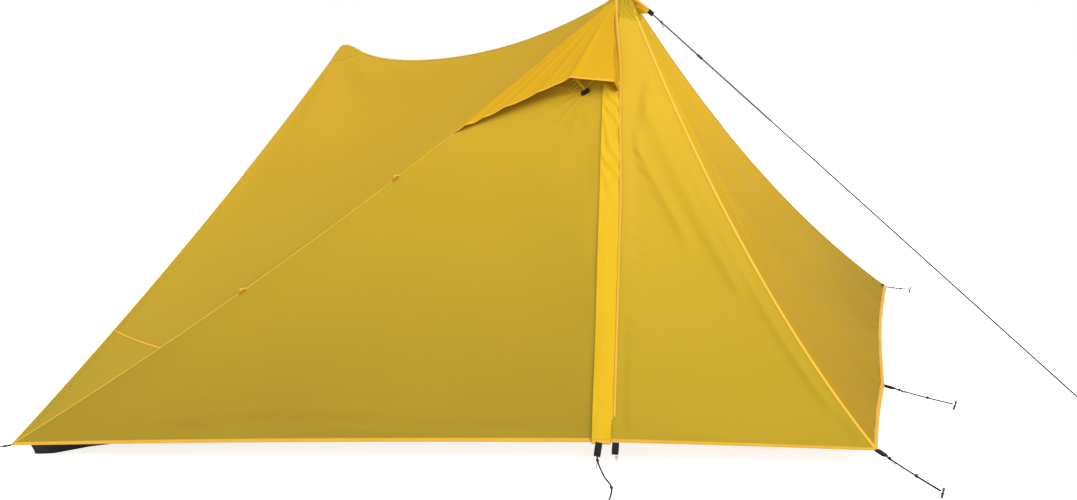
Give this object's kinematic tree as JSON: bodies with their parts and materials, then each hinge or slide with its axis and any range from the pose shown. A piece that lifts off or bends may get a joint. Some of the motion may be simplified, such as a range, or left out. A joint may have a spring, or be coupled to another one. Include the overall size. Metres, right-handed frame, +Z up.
{
  "type": "trekking pole tent",
  "caption": "Two-peak ridge tent pitched on trekking poles, with a zipped side door, a propped vent hood and a storm flap on each long side, a bathtub floor, stakes and guylines.",
  "frame": {"origin": "on the ground under the middle of the tent, on the underside of the floor", "axes": "+X along the long front side, to the right seen from the front; +Y from the front to the rear; +Z up"},
  "size_m": [3.4496, 2.5363, 1.4286],
  "materials": {
    "fly_cloth": "thin translucent coated ripstop",
    "bright_cloth": "doubled coated ripstop",
    "tie_cloth": "woven loop",
    "floor_cloth": "coated, matt",
    "webbing": "woven webbing",
    "cord": "braided cord",
    "zip_plastic": "moulded",
    "lever_plastic": "moulded",
    "grip_foam": "closed-cell foam",
    "pole_metal": "dark anodised",
    "stake_metal": "dark anodised"
  },
  "bodies": {
    "tent": {"fly_front_roof": "fly_cloth", "fly_rear_roof": "fly_cloth", "fly_right_end": "fly_cloth", "fly_left_end": "fly_cloth", "front_side_panel": "fly_cloth", "rear_side_panel": "fly_cloth", "front_gusset": "fly_cloth", "rear_gusset": "fly_cloth", "front_storm_flap": "bright_cloth", "rear_storm_flap": "bright_cloth", "front_zip": "zip_plastic", "rear_zip": "zip_plastic", "front_door_tie_low": "tie_cloth", "front_door_tie_high": "tie_cloth", "rear_door_tie_low": "tie_cloth", "rear_door_tie_high": "tie_cloth", "front_peak_cap": "fly_cloth", "rear_peak_cap": "fly_cloth", "front_peak_tab": "webbing", "rear_peak_tab": "webbing", "bathtub_floor": "floor_cloth", "front_floor_strap": "webbing", "rear_floor_strap": "webbing", "front_pole_grip": "grip_foam", "front_pole_upper": "pole_metal", "rear_pole_grip": "grip_foam", "rear_pole_upper": "pole_metal", "front_left_cord": "cord", "front_right_cord": "cord", "rear_right_cord": "cord", "mid_right_cord": "cord", "front_zip_cord": "cord", "peak_guyline": "cord", "rear_left_tab": "webbing", "mid_left_tab": "webbing", "rear_zip_tab": "webbing", "front_left_stake": "stake_metal", "front_right_stake": "stake_metal", "rear_right_stake": "stake_metal", "rear_left_stake": "stake_metal", "mid_right_stake": "stake_metal", "mid_left_stake": "stake_metal", "front_zip_stake": "stake_metal", "rear_zip_stake": "stake_metal", "peak_guyline_stake": "stake_metal"},
    "front_door": {"front_door": "fly_cloth"},
    "rear_door": {"rear_door": "fly_cloth"},
    "front_zip_slider": {"front_zip_slider": "zip_plastic"},
    "rear_zip_slider": {"rear_zip_slider": "zip_plastic"},
    "front_vent_hood": {"front_vent_hood": "bright_cloth"},
    "rear_vent_hood": {"rear_vent_hood": "bright_cloth"},
    "front_vent_strut": {"front_vent_strut": "webbing"},
    "rear_vent_strut": {"rear_vent_strut": "webbing"},
    "front_pole_lower": {"front_pole_lower": "pole_metal"},
    "rear_pole_lower": {"rear_pole_lower": "pole_metal"},
    "front_pole_lever": {"front_pole_lever": "lever_plastic"},
    "rear_pole_lever": {"rear_pole_lever": "lever_plastic"},
    "line_adjuster": {"line_adjuster": "lever_plastic"}
  },
  "joints": [
    {"name": "front_door_swing", "type": "hinge", "parent": "tent", "child": "front_door", "pos_m": [0.585, -0.40759, 1.00215], "axis": [-0.8596, -0.2865, -0.423], "range_deg": [0, 85]},
    {"name": "rear_door_swing", "type": "hinge", "parent": "tent", "child": "rear_door", "pos_m": [-0.585, 0.40759, 1.00215], "axis": [0.8596, 0.2865, -0.423], "range_deg": [0, 85]},
    {"name": "front_zip_run", "type": "slide", "parent": "tent", "child": "front_zip_slider", "axis": [-0.04, 0.5603, 0.8273], "range_m": [0, 1.105]},
    {"name": "rear_zip_run", "type": "slide", "parent": "tent", "child": "rear_zip_slider", "axis": [0.04, -0.5603, 0.8273], "range_m": [0, 1.105]},
    {"name": "front_hood_close", "type": "hinge", "parent": "tent", "child": "front_vent_hood", "pos_m": [0.06523, -0.41354, 0.9051], "axis": [0.7865, 0.2862, 0.5473], "range_deg": [0, 3]},
    {"name": "rear_hood_close", "type": "hinge", "parent": "tent", "child": "rear_vent_hood", "pos_m": [-0.06523, 0.41354, 0.9051], "axis": [-0.7865, -0.2862, 0.5473], "range_deg": [0, 3]},
    {"name": "front_strut_fold", "type": "hinge", "parent": "tent", "child": "front_vent_strut", "pos_m": [0.527, -0.41508, 0.99394], "axis": [-0.7091, -0.3954, -0.5838], "range_deg": [0, 27]},
    {"name": "rear_strut_fold", "type": "hinge", "parent": "tent", "child": "rear_vent_strut", "pos_m": [-0.527, 0.41508, 0.99394], "axis": [0.7091, 0.3954, -0.5838], "range_deg": [0, 27]},
    {"name": "front_pole_telescope", "type": "slide", "parent": "tent", "child": "front_pole_lower", "axis": [0, 0, 1], "range_m": [0, 0.27]},
    {"name": "rear_pole_telescope", "type": "slide", "parent": "tent", "child": "rear_pole_lower", "axis": [0, 0, 1], "range_m": [0, 0.27]},
    {"name": "front_lever_open", "type": "hinge", "parent": "tent", "child": "front_pole_lever", "pos_m": [0.637, -0.18985, 0.5225], "axis": [0, 0, -1], "range_deg": [0, 110]},
    {"name": "rear_lever_open", "type": "hinge", "parent": "tent", "child": "rear_pole_lever", "pos_m": [-0.637, 0.18985, 0.5225], "axis": [0, 0, -1], "range_deg": [0, 110]},
    {"name": "adjuster_slide", "type": "slide", "parent": "tent", "child": "line_adjuster", "axis": [0.6776, -0.2086, -0.7052], "range_m": [-0.15, 0.9]}
  ],
  "couplings": [
    {"joint": "front_strut_fold", "follows": "front_hood_close", "ratio": 9},
    {"joint": "rear_strut_fold", "follows": "rear_hood_close", "ratio": 9}
  ]
}
